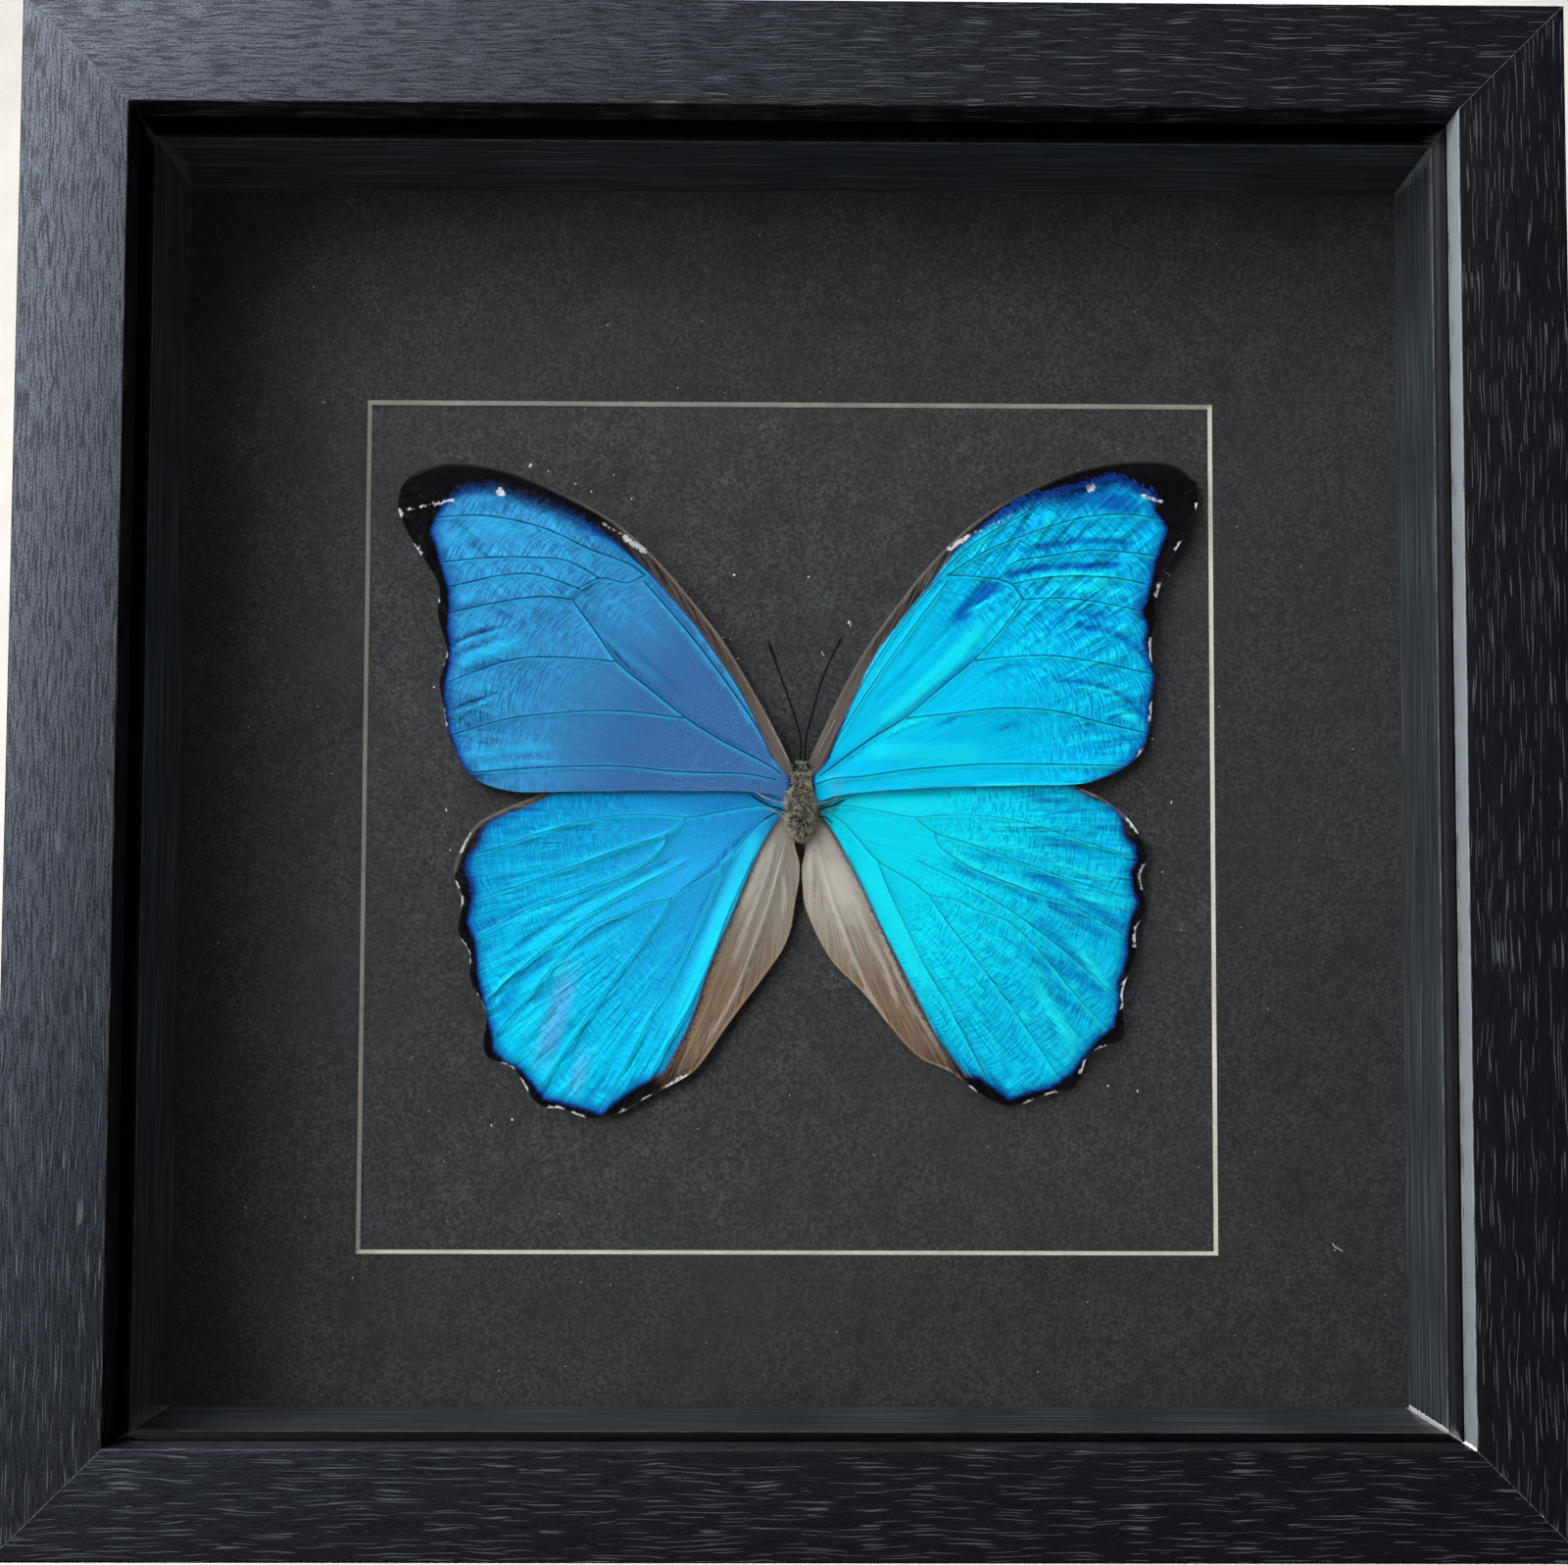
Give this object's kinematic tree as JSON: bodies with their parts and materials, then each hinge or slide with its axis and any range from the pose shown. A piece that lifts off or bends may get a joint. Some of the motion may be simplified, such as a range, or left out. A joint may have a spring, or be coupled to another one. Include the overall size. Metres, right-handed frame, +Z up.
{
  "type": "framed butterfly specimen",
  "caption": "Blue morpho butterfly with spread wings on a black card behind a window mat, in a deep square black box frame with glass and back board.",
  "frame": {"origin": "middle of the frame's footprint, on the surface that it stands on", "axes": "+Z up, -Y is the glass side and +Y the back, +X to the viewer's right"},
  "size_m": [0.25, 0.0468, 0.25],
  "materials": {
    "foil": "black wood-grain foil over wood",
    "glass": "clear float glass",
    "spacer": "black foil over fibreboard",
    "mat": "black mottled paper, cream core",
    "card": "black mottled paper",
    "board": "brown hardboard",
    "steel": "zinc plated",
    "fur": "olive brown hair",
    "antenna": "dark chitin",
    "forewing": "iridescent blue scales, black margin",
    "hindwing": "iridescent blue scales, black margin, taupe folds"
  },
  "bodies": {
    "root": {"rail_top": "foil", "rail_bottom": "foil", "rail_left": "foil", "rail_right": "foil", "glass": "glass", "spacer_top": "spacer", "spacer_bottom": "spacer", "spacer_left": "spacer", "spacer_right": "spacer", "window_mat": "mat", "mount_card": "card", "back_board": "board", "tab_top_1": "steel", "tab_top_2": "steel", "tab_bottom_1": "steel", "tab_bottom_2": "steel", "tab_left_1": "steel", "tab_left_2": "steel", "tab_right_1": "steel", "tab_right_2": "steel", "hanger_plate": "steel", "hanger_nail_left": "steel", "hanger_nail_right": "steel", "body": "fur", "antenna_left": "antenna", "antenna_right": "antenna", "forewing_left": "forewing", "forewing_right": "forewing", "hindwing_left": "hindwing", "hindwing_right": "hindwing"}
  },
  "joints": []
}
